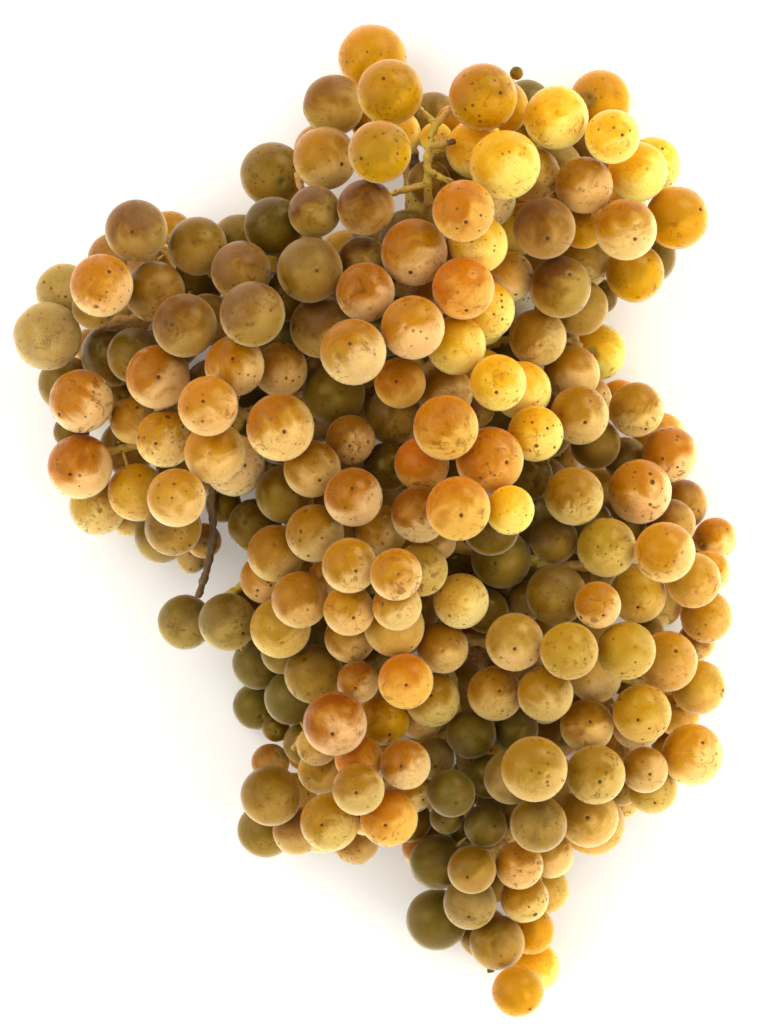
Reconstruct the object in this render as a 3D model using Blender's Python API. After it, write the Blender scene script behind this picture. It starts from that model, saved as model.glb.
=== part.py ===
"""A large compound bunch of ripe white grapes, lying on its back on a flat surface.

Metres, +Z up. +Y runs towards the cut stem and +X to the right, for an eye above the bunch. z = 0 is the
surface it lies on, and the origin is below the middle of the bunch's box.

The stalk is one woody piece. The berries are grouped into sprigs, the small clusters that a knife would
snip off: each sprig is one solid, its berries joined by a small neck where their skins press together.
"""

import math

import bmesh
import bpy
import numpy as np
from mathutils import Vector

MM = 0.001

# Driving dimensions, in millimetres.
STALK_HEIGHT = 30.0  # the main axis lies this far above the surface
FRONT_DEPTH = 46.0  # how far the broad part of the bunch rises above its axis
EDGE_HEIGHT = 19.0  # height of the berries along the outline
LAYER_STEP = 8.0  # from one layer of berries to the next one behind it
SKIN_GAP = 0.35  # clear air between neighbouring berries
FLAT_DEPTH = 0.5  # how much a berry that carries weight is flattened against the surface
FILL_PITCH = 14.9  # spacing of the berries on the side that lies on the surface
FILL_DIAMETER = 14.2
RIM_WIDTH = 27.0  # the fill above the lowest layer stays this near to the outline
GAP_PITCH = 3.0  # how finely the gaps between the berries of the front are searched
GAP_DIAMETERS = (14.1, 12.3, 10.7, 9.1)
GAP_DEPTH = 9.0  # a gap berry stays this far below the berries of the front
GAP_COVER = 0.8  # at least this share of a gap berry's outline lies behind the berries of the front
STALK_GAP = (-1.0, 86.0, 13.0, 12.0)  # middle and half sizes of the opening left round the crown's stems
DRY_BRANCH = ((-40.0, 8.0), (-38.0, -6.0), (-43.0, -19.0))  # no gap berry lies in front of this branch
SPRIG_BERRIES = 7  # how many berries a sprig takes before the next one starts
NECK_ANGLE = 12.0  # half angle of the neck between two berries, seen from a berry's middle, in degrees
LONGEST_NECK = 5.0
STALK_CLEARANCE = 0.4

# Every berry that shows from above, as x, y, diameter and layer. Layer 4 is nearest to the eye.
CROWN = [
    (-0.3, 111.3, 17.0, 2), (4.9, 101.8, 16.2, 3), (-9.6, 99.8, 15.2, 2), (-12.2, 87.0, 15.6, 3),
    (1.0, 87.4, 15.4, 4), (-22.8, 84.2, 16.2, 2), (-14.0, 90.0, 13.0, 1), (-22.5, 70.0, 14.6, 2),
    (-15.0, 73.5, 12.8, 3), (-2.7, 74.8, 14.0, 3), (8.2, 67.8, 14.6, 2), (10.0, 63.6, 16.4, 3),
    (6.5, 92.5, 13.0, 1), (-3.5, 97.0, 9.0, 1), (13.0, 79.5, 11.0, 1), (15.0, 92.5, 8.0, 1),
    (17.5, 94.5, 9.0, 1),
]
RIGHT_SHOULDER = [
    (25.8, 101.1, 16.6, 4), (29.8, 99.3, 14.4, 2), (34.1, 107.8, 3.4, 3), (25.0, 87.5, 15.0, 2),
    (31.0, 84.6, 17.1, 4), (36.5, 83.0, 13.8, 2), (21.2, 73.0, 15.2, 4), (24.5, 67.2, 14.6, 3),
    (26.5, 75.0, 13.0, 2), (29.8, 74.0, 13.0, 1), (29.5, 64.0, 11.0, 1), (43.5, 96.4, 15.8, 3),
    (54.9, 102.3, 15.0, 2), (56.7, 91.5, 13.5, 4), (63.8, 84.0, 14.8, 3), (66.0, 85.0, 14.0, 2),
    (50.0, 80.3, 14.0, 3), (44.0, 82.0, 13.0, 1), (40.6, 69.8, 15.2, 3), (60.1, 69.6, 15.2, 4),
    (71.5, 72.0, 15.6, 3), (61.0, 77.5, 12.0, 1), (50.0, 72.7, 12.0, 2), (62.0, 62.0, 14.6, 2),
    (51.0, 62.0, 14.0, 1), (44.2, 55.6, 15.2, 3), (49.3, 51.7, 14.2, 2),
]
LEFT_SHOULDER = [
    (-57.5, 69.2, 15.4, 3), (-61.5, 63.0, 13.0, 1), (-55.5, 64.5, 12.0, 1), (-65.7, 56.1, 15.5, 4),
    (-75.8, 55.0, 14.0, 2), (-79.4, 44.4, 16.8, 3), (-53.3, 55.0, 15.0, 2), (-64.2, 43.0, 16.0, 1),
    (-75.3, 33.0, 14.0, 1), (-70.9, 28.4, 15.8, 3), (-52.3, 34.6, 15.8, 3), (-45.9, 45.8, 15.8, 3),
    (-43.2, 65.0, 14.6, 2), (-40.5, 51.5, 13.0, 1), (-31.7, 59.4, 14.8, 2), (-29.6, 48.3, 16.0, 3),
    (-39.8, 27.2, 14.8, 4), (-33.9, 36.8, 14.8, 3), (-50.8, 19.5, 14.2, 3), (-58.8, 23.4, 11.6, 2),
    (-56.2, 36.5, 14.0, 1), (-71.3, 12.6, 16.0, 3), (-67.3, 3.2, 14.4, 2), (-58.5, 6.6, 14.4, 2),
    (-47.5, 5.2, 14.4, 4), (-37.1, 14.7, 15.4, 3), (-35.8, 14.2, 15.2, 2), (-51.9, -4.7, 13.0, 1),
    (-42.3, -6.2, 8.8, 1), (-44.6, -9.0, 7.4, 1), (-46.3, -25.1, 13.6, 2), (-35.5, -24.9, 14.4, 2),
    (-33.0, -19.5, 12.6, 1), (-36.0, 3.0, 9.0, 1),
]
MIDDLE = [
    (-15.3, 59.3, 16.0, 3), (-19.5, 61.5, 10.0, 1), (-22.0, 55.0, 13.0, 1), (-3.0, 61.6, 13.4, 2),
    (-2.7, 54.3, 14.4, 3), (-13.4, 46.5, 15.4, 2), (-5.1, 39.8, 16.0, 4), (-22.4, 36.2, 13.4, 2),
    (-11.0, 30.8, 15.6, 1), (-22.7, 21.8, 16.6, 4), (-15.2, 11.9, 14.0, 3), (-6.1, 19.0, 12.2, 2),
    (4.3, 24.4, 14.2, 1), (5.9, 32.6, 12.6, 3), (9.0, 45.7, 15.5, 4), (-5.7, 5.5, 14.3, 3),
    (-24.5, 18.5, 13.0, 1), (-23.0, 5.3, 14.4, 2), (-27.6, 0.3, 13.2, 1), (-23.5, -8.9, 14.0, 3),
    (-26.5, -11.0, 12.5, 1), (-14.7, -3.5, 14.2, 3), (-18.0, -18.9, 14.0, 3), (-21.9, -25.6, 15.0, 2),
    (-12.0, -13.8, 8.6, 2), (-6.0, -11.6, 13.5, 4), (4.7, -13.7, 12.8, 4), (1.4, -2.8, 12.8, 2),
    (10.6, 1.3, 14.0, 3), (20.0, 2.5, 15.6, 4), (-6.2, -21.4, 12.6, 3), (5.2, -19.6, 12.0, 3),
    (4.8, -26.1, 15.0, 2), (-5.8, -28.6, 12.6, 2), (12.2, -15.8, 13.0, 2), (9.2, -8.5, 10.6, 1),
    (13.8, -6.2, 9.0, 1), (15.5, -21.3, 13.6, 2), (14.6, -30.5, 12.6, 2), (3.0, 13.0, 12.0, 1),
]
FRONT = [
    (20.7, 55.0, 15.3, 4), (20.5, 43.1, 14.4, 3), (26.2, 50.0, 14.6, 3), (30.0, 56.3, 12.6, 2),
    (32.0, 52.5, 13.0, 1), (37.2, 41.4, 14.3, 2), (47.3, 37.5, 14.0, 2), (54.2, 40.7, 14.0, 1),
    (50.5, 29.5, 13.0, 1), (49.0, 25.0, 14.6, 3), (36.6, 28.2, 14.4, 2), (35.3, 22.7, 13.6, 3),
    (29.2, 32.6, 13.7, 4), (29.2, 14.7, 16.4, 3), (17.0, 21.6, 15.9, 4), (16.8, 30.3, 13.6, 2),
    (11.0, 12.9, 13.6, 3), (26.5, 37.0, 12.0, 1), (28.5, 43.5, 10.6, 1), (25.0, 27.0, 8.0, 1),
    (41.5, 20.5, 12.0, 1), (37.0, 10.5, 12.0, 1), (13.0, 53.0, 10.0, 1), (31.2, 3.3, 12.0, 3),
]
LOWER_LEFT = [
    (-16.1, -36.3, 14.6, 2), (-4.3, -39.3, 10.4, 3), (7.2, -38.6, 13.6, 3), (15.9, -42.4, 13.4, 2),
    (-9.6, -49.0, 15.6, 4), (4.9, -47.8, 12.8, 2), (11.8, -51.0, 12.0, 1), (-4.1, -57.4, 11.8, 3),
    (7.2, -58.9, 12.4, 3), (-14.0, -55.3, 10.2, 2), (-19.0, -55.6, 11.0, 1), (-18.5, -44.6, 13.6, 1),
    (-27.0, -36.7, 13.0, 1), (-21.0, -33.5, 11.0, 1), (-27.2, -47.9, 11.6, 1), (-25.2, -50.2, 7.0, 1),
    (-24.5, -58.5, 9.4, 1), (-24.8, -67.4, 15.0, 3), (-13.6, -60.2, 11.4, 1), (-4.0, -64.8, 12.8, 4),
    (9.3, -64.4, 10.0, 1), (-11.0, -73.0, 14.4, 3), (3.1, -71.8, 14.1, 3), (-26.8, -75.7, 13.8, 2),
    (-19.0, -75.0, 12.0, 2), (-5.2, -77.4, 11.8, 1), (-2.8, -73.0, 9.0, 1), (-14.0, -76.5, 9.6, 1),
    (9.5, -75.0, 11.0, 1),
]
RIGHT_SIDE = [
    (62.6, 26.0, 13.6, 2), (70.3, 15.6, 13.8, 2), (54.0, 18.8, 12.4, 1), (61.0, 15.0, 11.0, 1),
    (47.7, 5.4, 14.5, 3), (63.8, 6.6, 15.8, 3), (74.8, 3.4, 12.6, 1), (71.6, -1.2, 12.2, 2),
    (69.2, -8.0, 15.0, 4), (82.7, -4.8, 10.6, 2), (76.6, -14.8, 13.8, 3), (81.0, -13.4, 10.4, 2),
    (80.1, -23.6, 13.0, 2), (78.5, -29.0, 9.6, 1), (75.8, -41.2, 13.4, 2), (73.5, -47.2, 11.6, 1),
    (63.8, -18.1, 14.0, 2), (53.2, -20.6, 11.5, 4), (70.3, -20.8, 12.4, 1), (55.5, -6.8, 14.6, 3),
    (43.3, -5.0, 12.0, 2), (42.6, -18.4, 15.0, 2), (30.5, -9.6, 14.8, 1), (37.0, -19.5, 10.0, 1),
    (27.0, -22.0, 11.0, 1),
]
LOWER_RIGHT = [
    (33.4, -29.5, 14.4, 3), (46.3, -31.6, 14.2, 4), (60.2, -31.6, 14.4, 4), (70.5, -34.4, 15.0, 3),
    (29.0, -42.1, 13.6, 2), (40.7, -41.8, 13.8, 3), (39.0, -45.7, 12.0, 1), (53.0, -39.4, 12.8, 2),
    (51.2, -49.5, 13.2, 2), (64.0, -46.8, 14.4, 3), (63.3, -49.9, 12.4, 1), (38.0, -59.8, 16.2, 4),
    (52.9, -61.3, 14.6, 3), (31.2, -62.4, 13.4, 2), (65.0, -60.5, 11.4, 3), (67.0, -62.5, 12.6, 2),
    (76.2, -57.3, 15.2, 3), (21.5, -51.5, 12.4, 1), (32.0, -50.5, 11.0, 1), (15.0, -56.6, 10.4, 1),
    (26.0, -61.5, 11.0, 1), (18.3, -66.0, 11.8, 2), (17.2, -72.0, 8.4, 1), (24.5, -67.5, 10.0, 1),
    (27.0, -74.8, 10.6, 2), (39.0, -73.0, 14.0, 3), (37.0, -72.5, 13.0, 2), (51.4, -72.0, 15.0, 3),
    (52.8, -74.1, 15.4, 2), (58.5, -66.8, 10.0, 1),
]
TAIL = [
    (15.3, -97.7, 15.3, 2), (14.8, -82.9, 13.6, 2), (23.6, -84.0, 12.0, 3), (23.1, -93.2, 13.2, 3),
    (34.7, -83.8, 12.0, 3), (41.7, -80.3, 11.8, 2), (41.2, -91.1, 12.0, 2), (35.7, -91.6, 12.0, 3),
    (27.8, -100.3, 13.8, 2), (26.0, -101.0, 12.8, 1), (37.2, -101.3, 12.0, 2), (38.3, -104.4, 12.6, 1),
    (34.1, -113.6, 12.8, 3),
]
LOBES = [CROWN, RIGHT_SHOULDER, LEFT_SHOULDER, MIDDLE, FRONT, LOWER_LEFT, RIGHT_SIDE, LOWER_RIGHT, TAIL]

# The outline, as stations along the bunch: y, then the left and the right edge.
OUTLINE = [
    (-120, 30, 38), (-105, 8, 45), (-85, 8, 48), (-75, -34, 60), (-62, -32, 82), (-45, -33, 82),
    (-25, -53, 86), (-8, -57, 88), (5, -75, 81), (18, -79, 77), (30, -80, 69), (42, -88, 61),
    (55, -83, 63), (66, -70, 76), (76, -52, 79), (84, -31, 73), (98, -18, 62), (110, -9, 40), (120, -4, 8),
]

# The woody parts, as x, y, height above the main axis, radius. Each branch starts inside the one it leaves.
AXIS = [
    (3.4, 103.0, -7.0, 2.9), (5.0, 98.0, -7.5, 2.5), (9.0, 88.0, -7.0, 2.4), (11.0, 72.0, -3.0, 2.4),
    (10.0, 55.0, 0.0, 2.4), (9.0, 35.0, 0.0, 2.2), (10.0, 15.0, 0.0, 2.1), (12.0, -5.0, 0.0, 2.0),
    (16.0, -28.0, -1.0, 1.8), (20.0, -50.0, -1.0, 1.6), (23.0, -72.0, -1.0, 1.4), (28.0, -92.0, -1.0, 1.2),
    (26.5, -105.0, -2.0, 1.0), (28.2, -110.5, -1.0, 0.9),
]
BRANCHES = [
    [(11.0, 72.0, -3.0, 1.8), (28.0, 77.0, 1.0, 1.6), (46.0, 80.0, 2.0, 1.4), (62.0, 80.0, -3.0, 1.1)],
    [(28.0, 77.0, 3.0, 1.3), (36.0, 88.0, 4.0, 1.1), (46.0, 96.0, 1.0, 0.9)],
    [(46.0, 80.0, 2.0, 1.2), (56.0, 70.0, 0.0, 1.0), (66.0, 68.0, -4.0, 0.8)],
    [(10.0, 55.0, 0.0, 1.9), (-10.0, 57.0, 2.0, 1.7), (-30.0, 54.0, 2.0, 1.5), (-50.0, 50.0, -2.0, 1.3),
     (-68.0, 47.0, -6.0, 1.0)],
    [(-30.0, 54.0, 2.0, 1.2), (-44.0, 62.0, 0.0, 1.0), (-55.0, 68.0, -4.0, 0.8)],
    [(-10.0, 57.0, 2.0, 1.2), (-16.0, 72.0, 2.0, 1.1), (-19.0, 84.0, 0.0, 0.9)],
    [(9.0, 35.0, 0.0, 1.8), (-12.0, 32.0, 2.0, 1.6), (-32.0, 25.0, 0.0, 1.4), (-50.0, 20.0, -3.0, 1.2),
     (-66.0, 16.0, -7.0, 0.9)],
    [(-32.0, 25.0, 0.0, 1.1), (-46.0, 34.0, -2.0, 1.0), (-60.0, 34.0, -5.0, 0.8)],
    [(10.0, 15.0, -2.0, 1.7), (28.0, 17.0, -5.0, 1.4), (42.0, 17.0, -10.0, 1.0)],
    [(9.0, 35.0, 0.0, 1.6), (24.0, 42.0, 2.0, 1.3), (40.0, 46.0, 0.0, 1.1), (50.0, 42.0, -4.0, 0.8)],
    [(12.0, -5.0, 0.0, 1.6), (-8.0, -6.0, 1.0, 1.4), (-24.0, -10.0, -1.0, 1.2), (-38.0, -20.0, -6.0, 0.9)],
    [(12.0, -5.0, 0.0, 1.7), (34.0, -10.0, 1.0, 1.5), (56.0, -12.0, -2.0, 1.2), (74.0, -12.0, -7.0, 0.9)],
    [(16.0, -28.0, -1.0, 1.5), (38.0, -32.0, 0.0, 1.3), (58.0, -38.0, -4.0, 1.1), (72.0, -42.0, -9.0, 0.8)],
    [(16.0, -28.0, -1.0, 1.4), (2.0, -34.0, 0.0, 1.2), (-12.0, -44.0, -3.0, 1.0), (-20.0, -56.0, -7.0, 0.8)],
    [(20.0, -50.0, -2.0, 1.3), (38.0, -58.0, -2.0, 1.2), (56.0, -62.0, -6.0, 1.0), (70.0, -60.0, -10.0, 0.8)],
    [(20.0, -50.0, -2.0, 1.2), (8.0, -60.0, -3.0, 1.0), (-4.0, -70.0, -6.0, 0.8)],
    [(23.0, -72.0, -1.0, 1.0), (34.0, -80.0, -1.0, 0.9), (40.0, -88.0, -1.0, 0.8)],
    [(11.0, 72.0, -3.0, 1.6), (13.0, 73.5, 8.0, 1.3), (13.0, 77.0, 17.0, 1.1), (12.2, 84.0, 19.0, 1.0),
     (11.9, 90.0, 17.5, 1.0), (11.9, 96.0, 16.0, 0.9), (17.0, 98.0, 16.0, 0.8), (19.0, 99.5, 15.0, 0.7)],
    [(11.9, 95.0, 16.0, 0.8), (10.2, 98.4, 12.0, 0.7), (9.6, 100.5, 8.0, 0.7)],
    [(11.9, 88.5, 18.0, 0.9), (16.5, 90.4, 20.0, 0.8), (19.0, 90.6, 21.0, 0.7)],
    [(12.4, 83.0, 19.0, 0.9), (16.0, 81.6, 21.0, 0.8), (19.5, 80.3, 22.0, 0.7)],
    [(12.4, 81.0, 18.8, 0.9), (7.0, 79.6, 17.0, 0.8), (3.4, 78.2, 14.0, 0.7)],
    [(-32.0, 25.0, 0.0, 1.2), (-38.0, 15.0, 1.0, 1.1), (-40.0, 8.0, 4.0, 1.0), (-38.5, 1.0, 8.0, 1.0),
     (-37.8, -4.0, 8.0, 1.0), (-38.5, -8.5, 7.0, 1.0), (-40.0, -12.0, 4.0, 0.9), (-43.0, -19.0, -1.0, 0.8)],
]


def outline_at(y):
    """The middle and the half width of the bunch at this y."""
    ys = [row[0] for row in OUTLINE]
    left = np.interp(y, ys, [row[1] for row in OUTLINE])
    right = np.interp(y, ys, [row[2] for row in OUTLINE])
    return (left + right) / 2, (right - left) / 2


def depth_at(y):
    """How far the bunch rises above its axis at this y: the narrow tail is thinner than the body."""
    return FRONT_DEPTH * 1.15 * (1 - math.exp(-outline_at(y)[1] / 40))


def axis_height(y):
    return min(STALK_HEIGHT, 0.8 * depth_at(y) + 2)


def front_height(x, y):
    """Height of the front layer of berries: a dome over the outline."""
    middle, half = outline_at(y)
    across = min(abs(x - middle) / half, 1.0)
    edge = min(EDGE_HEIGHT, axis_height(y))
    return edge + (axis_height(y) + depth_at(y) - 8 - edge) * (1 - across**2.2) ** 0.65


def seen_berries():
    """The listed berries as rows of x, y, z, radius: each goes as deep as its layer says, without overlap.

    Berries that crowd each other mostly move up or down, and the deeper ones may also give way sideways.
    """
    rows = [row for lobe in LOBES for row in lobe]
    home = np.array([row[:2] for row in rows])
    r = np.array([row[2] for row in rows]) / 2
    layer = np.array([row[3] for row in rows])
    aim = np.array([front_height(*place) for place in home]) - (4 - layer) * LAYER_STEP
    aim = np.maximum(aim, r - FLAT_DEPTH)
    place = np.column_stack([home, aim])
    give = np.column_stack([np.array([0.5, 0.3, 0.12, 0.06])[layer - 1]] * 2 + [np.ones(len(rows))])
    first, second = np.triu_indices(len(rows), 1)
    close = np.hypot(*(home[first] - home[second]).T) < r[first] + r[second] + 14
    first, second = first[close], second[close]
    swap = layer[first] * 1000 + aim[first] > layer[second] * 1000 + aim[second]
    low, high = np.where(swap, second, first), np.where(swap, first, second)
    reach = r[low] + r[high] + SKIN_GAP
    wood = np.vstack([stretched_to(line, 4.0) for line in stalk_lines()])
    for turn in range(700):
        apart = place[high] - place[low]
        flat = np.hypot(apart[:, 0], apart[:, 1])
        rise = np.sqrt(np.maximum(reach**2 - flat**2, 0))
        short = np.where(flat < reach, rise - apart[:, 2], 0)
        short = np.maximum(short, 0)
        push = np.zeros_like(apart)
        push[:, 2] = short * 0.5
        steep = np.minimum(rise / np.maximum(flat, 1.0), 2.5)
        push[:, :2] = apart[:, :2] / np.maximum(flat, 0.5)[:, None] * (short * steep * 0.5)[:, None]
        move = np.zeros_like(place)
        np.add.at(move, high, push)
        np.add.at(move, low, -push)
        count = np.maximum(np.bincount(low[short > 0], minlength=len(rows))
                           + np.bincount(high[short > 0], minlength=len(rows)), 1)
        place += move * give / count[:, None] * 1.2
        away = place[:, None, :] - wood[None, :, :3]
        far = np.linalg.norm(away, axis=2)
        short = np.maximum(r[:, None] + wood[None, :, 3] + STALK_CLEARANCE + 0.6 - far, 0)
        place += 0.3 * (away / far[:, :, None] * short[:, :, None]).sum(axis=1) * give
        ease = 0.03 * max(0.0, 1 - turn / 450)
        place[:, 2] += ease * (aim - place[:, 2])
        place[:, :2] += ease * (home - place[:, :2])
        place[:, 2] = np.maximum(place[:, 2], r - FLAT_DEPTH)
    flat = np.hypot(*(place[high] - place[low])[:, :2].T)
    steps = [(low[k], high[k], math.sqrt(reach[k] ** 2 - flat[k] ** 2)) for k in np.nonzero(flat < reach)[0]]
    steps.sort(key=lambda step: (layer[step[1]], aim[step[1]]))
    for below, above, step in steps:
        place[above, 2] = max(place[above, 2], place[below, 2] + step)
    return np.column_stack([place, r])


def stalk_lines():
    """Every woody line as rows of x, y, z, radius, at the bunch's own height."""
    lines = []
    for line in [AXIS] + BRANCHES:
        lines.append(np.array([(x, y, axis_height(y) + up, radius) for x, y, up, radius in line]))
    return lines


def stretched_to(line, pitch):
    """The same line with a point every few millimetres."""
    pieces = []
    for a, b in zip(line[:-1], line[1:]):
        count = max(1, round(float(np.linalg.norm(b[:3] - a[:3])) / pitch))
        pieces += [a + (b - a) * n / count for n in range(count)]
    return np.array(pieces + [line[-1]])


def segment_distance(points, a, b):
    """The distance of each point from the segment a-b."""
    along = b - a
    t = np.clip((points - a) @ along / (along @ along), 0, 1)
    return np.linalg.norm(points - (a + t[:, None] * along), axis=1)


def hidden_berries(seen):
    """The berries of the side that lies on the surface, and those between the two sides near the rim."""
    rng = np.random.default_rng(11)
    found = [row for row in seen]
    added = []
    wood = np.vstack([stretched_to(line, 3.0) for line in stalk_lines()])
    turn = np.linspace(0, 2 * math.pi, 16, endpoint=False)

    def covered(x, y, radius, share=1.0):
        rim = np.column_stack([x + radius * np.cos(turn), y + radius * np.sin(turn)])
        near = np.linalg.norm(rim[:, None, :] - seen[None, :, :2], axis=2) < seen[None, :, 3] - 0.2
        return bool(near.any(axis=1).mean() >= share)

    def free(x, y, z, radius):
        rows = np.array(found)
        gap = np.linalg.norm(rows[:, :3] - (x, y, z), axis=1) - rows[:, 3] - radius
        room = np.linalg.norm(wood[:, :3] - (x, y, z), axis=1) - wood[:, 3] - radius
        return gap.min() >= SKIN_GAP and room.min() >= STALK_CLEARANCE + 0.3

    def level(first, last, widest, nearest):
        row_step = FILL_PITCH * math.sqrt(3) / 2
        for n in range(int(-120 / row_step), int(120 / row_step) + 1):
            for m in range(-7, 8):
                radius = FILL_DIAMETER / 2 * rng.uniform(0.88, 1.1)
                shift = rng.uniform(-1.2, 1.2, (6, 2))
                for dx, dy in shift:
                    x = (m + (n % 2) / 2) * FILL_PITCH + dx
                    y = n * row_step + dy
                    middle, half = outline_at(y)
                    across = abs(x - middle) / half
                    if across > widest or half * (1 - across) > nearest or not covered(x, y, radius):
                        continue
                    heights = np.arange(first, last + 0.01, 1.0) if last > first else [first]
                    place = next((h for h in heights if free(x, y, radius - FLAT_DEPTH + h, radius)), None)
                    if place is not None:
                        found.append((x, y, radius - FLAT_DEPTH + place, radius))
                        added.append(found[-1])
                        break

    level(0.0, 0.0, 0.8, 999.0)
    level(1.0, 16.0, 1.0, 999.0)
    level(14.0, 34.0, 1.0, RIM_WIDTH)

    dry_branch = np.vstack([np.linspace(a, b, 8) for a, b in zip(DRY_BRANCH, DRY_BRANCH[1:])])

    def off_branch(x, y, radius):
        return np.hypot(dry_branch[:, 0] - x, dry_branch[:, 1] - y).min() > radius + 2.5

    def seen_through(x, y):
        rows = np.array(found)
        return bool((np.hypot(rows[:, 0] - x, rows[:, 1] - y) > rows[:, 3] - 0.2).all())

    for y in np.arange(-116.0, 108.0, GAP_PITCH):
        middle, half = outline_at(y)
        for x in np.arange(middle - half + 3.0, middle + half - 2.9, GAP_PITCH):
            at_stalk = abs(x - STALK_GAP[0]) < STALK_GAP[2] and abs(y - STALK_GAP[1]) < STALK_GAP[3]
            if at_stalk or not seen_through(x, y):
                continue
            for diameter in GAP_DIAMETERS:
                radius = diameter / 2
                spots = [
                    (z - math.hypot(dx, dy), x + dx, y + dy, z)
                    for z in np.arange(radius + 1.0, front_height(x, y) - GAP_DEPTH, 1.5)
                    for dx in (-4.5, -2.2, 0.0, 2.2, 4.5)
                    for dy in (-4.5, -2.2, 0.0, 2.2, 4.5)
                    if math.hypot(dx, dy) < radius - 1.2 and covered(x + dx, y + dy, radius, GAP_COVER)
                ]
                spots = [spot for spot in spots if off_branch(spot[1], spot[2], radius)]
                place = next((spot for spot in sorted(spots, reverse=True) if free(*spot[1:], radius)), None)
                if place is not None:
                    found.append((*place[1:], radius))
                    added.append(found[-1])
                    break
    return np.array(added)


def grown_lines(berries):
    """The woody lines threaded between the berries. Each ends where it would no longer pass between them."""
    done = []
    for line in stalk_lines():
        line = stretched_to(line, 4.0)
        fixed = line[0, :3].copy()
        if done:
            parent = np.vstack(done)
            fixed = parent[np.argmin(np.linalg.norm(parent[:, :3] - fixed, axis=1)), :3].copy()
        home = line[:, :3].copy()
        for turn in range(240):
            gap = line[:, None, :3] - berries[None, :, :3]
            far = np.linalg.norm(gap, axis=2)
            short = np.maximum(berries[None, :, 3] + line[:, None, 3] + STALK_CLEARANCE + 0.6 - far, 0)
            line[:, :3] += 0.5 * (gap / far[:, :, None] * short[:, :, None]).sum(axis=1)
            line[1:-1, :3] += 0.06 * (line[:-2, :3] + line[2:, :3] - 2 * line[1:-1, :3])
            line[:, :3] += 0.02 * (home - line[:, :3])
            line[:, 2] = np.maximum(line[:, 2], line[:, 3] + 1.0)
            line[0, :3] = fixed
        last = 0
        for n in range(len(line) - 1):
            far = segment_distance(berries[:, :3], line[n, :3], line[n + 1, :3])
            if (far - berries[:, 3] - max(line[n, 3], line[n + 1, 3])).min() < 0.12:
                break
            last = n + 1
        if last >= 2:
            done.append(line[: last + 1])
    return done


def tube(shape, line, sides=6):
    """Adds a closed tube along the line, its radius changing from point to point."""
    rings = []
    side = Vector((0, 0, 1))
    for n, row in enumerate(line):
        ahead = Vector(line[min(n + 1, len(line) - 1)][:3]) - Vector(line[max(n - 1, 0)][:3])
        ahead.normalize()
        side = (side - side.dot(ahead) * ahead).normalized()
        other = ahead.cross(side)
        ring = []
        for k in range(sides):
            turn = 2 * math.pi * k / sides
            spot = Vector(row[:3]) + (math.cos(turn) * side + math.sin(turn) * other) * row[3]
            ring.append(shape.verts.new(spot * MM))
        rings.append(ring)
    for one, two in zip(rings[:-1], rings[1:]):
        for k in range(sides):
            shape.faces.new((one[k], one[(k + 1) % sides], two[(k + 1) % sides], two[k]))
    shape.faces.new(rings[0][::-1])
    shape.faces.new(rings[-1])


def neck_pairs(berries, lines):
    """Pairs of berries that a short neck can join, nearest first, as gap, first, second.

    A neck passes clear of the other berries and of the woody lines.
    """
    wood = np.vstack([stretched_to(line, 1.0) for line in lines])
    found = []
    for i in range(len(berries)):
        far = np.linalg.norm(berries[:, :3] - berries[i, :3], axis=1) - berries[:, 3] - berries[i, 3]
        for j in np.nonzero(far < LONGEST_NECK)[0]:
            if j <= i:
                continue
            others = np.delete(np.arange(len(berries)), [i, j])
            room = segment_distance(berries[others, :3], berries[i, :3], berries[j, :3]) - berries[others, 3]
            beside = segment_distance(wood[:, :3], berries[i, :3], berries[j, :3]) - wood[:, 3]
            if min(room.min(), beside.min()) > neck_radius(berries[i], berries[j]) + SKIN_GAP:
                found.append((float(far[j]), i, int(j)))
    return sorted(found)


def neck_radius(one, two):
    return min(one[3], two[3]) * math.sin(math.radians(NECK_ANGLE))


def sprig_groups(berries, lobe_of, lines):
    """Splits the berries into sprigs of neighbours, each with the necks that hold it together."""
    pairs = neck_pairs(berries, lines)
    near = {i: {} for i in range(len(berries))}
    for gap, i, j in pairs:
        near[i][j] = gap
        near[j][i] = gap
    group = {}
    members = []
    order = sorted(range(len(berries)), key=lambda i: (lobe_of[i], -round(berries[i, 1] / 15), berries[i, 0]))
    for start in order:
        if start in group:
            continue
        mine = [start]
        group[start] = len(members)
        while len(mine) < SPRIG_BERRIES:
            middle = berries[mine, :3].mean(axis=0)
            options = [
                (np.linalg.norm(berries[j, :3] - middle) + 2 * near[i][j], j)
                for i in mine for j in near[i] if j not in group and lobe_of[j] == lobe_of[start]
            ]
            if not options:
                break
            chosen = min(options)[1]
            mine.append(chosen)
            group[chosen] = group[start]
        members.append(mine)
    for n in sorted(range(len(members)), key=lambda n: len(members[n])):
        if len(members[n]) > 3:
            break
        options = [
            (len(members[group[j]]) > 8, near[i][j] + 0.4 * len(members[group[j]]), group[j])
            for i in members[n] for j in near[i]
            if group[j] != n and (lobe_of[i] == 9 or lobe_of[i] == lobe_of[j])
        ]
        if options:
            target = min(options)[2]
            for i in members[n]:
                group[i] = target
            members[target] += members[n]
            members[n] = []
    return [mine for mine in members if mine], pairs


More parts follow.
